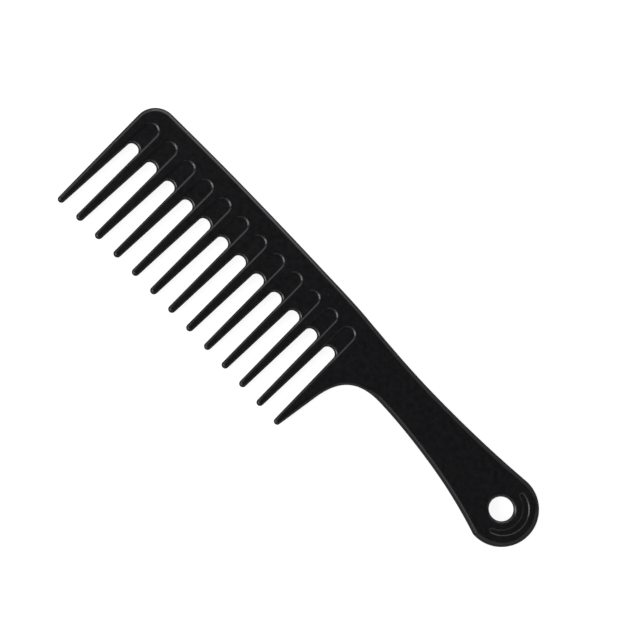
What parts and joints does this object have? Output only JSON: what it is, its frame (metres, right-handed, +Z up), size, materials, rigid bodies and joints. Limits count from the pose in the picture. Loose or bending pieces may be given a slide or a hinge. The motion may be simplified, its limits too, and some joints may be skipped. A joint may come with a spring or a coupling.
{
  "type": "wide tooth comb",
  "caption": "Flat moulded comb with long, widely spaced tapered teeth under a straight spine, and a handle with a round end and a hanging hole.",
  "frame": {"origin": "centre of the base of the comb's box, with the comb lying flat on one face", "axes": "+X along the comb's length, towards the handle's round end; the teeth point along -Y; +Z up through the comb's thickness"},
  "size_m": [0.24, 0.06, 0.005],
  "materials": {
    "black_plastic": "satin moulded black plastic"
  },
  "bodies": {
    "root": {"spine": "black_plastic", "handle": "black_plastic", "tooth_01": "black_plastic", "tooth_02": "black_plastic", "tooth_03": "black_plastic", "tooth_04": "black_plastic", "tooth_05": "black_plastic", "tooth_06": "black_plastic", "tooth_07": "black_plastic", "tooth_08": "black_plastic", "tooth_09": "black_plastic", "tooth_10": "black_plastic", "tooth_11": "black_plastic", "tooth_12": "black_plastic", "tooth_13": "black_plastic"}
  },
  "joints": []
}
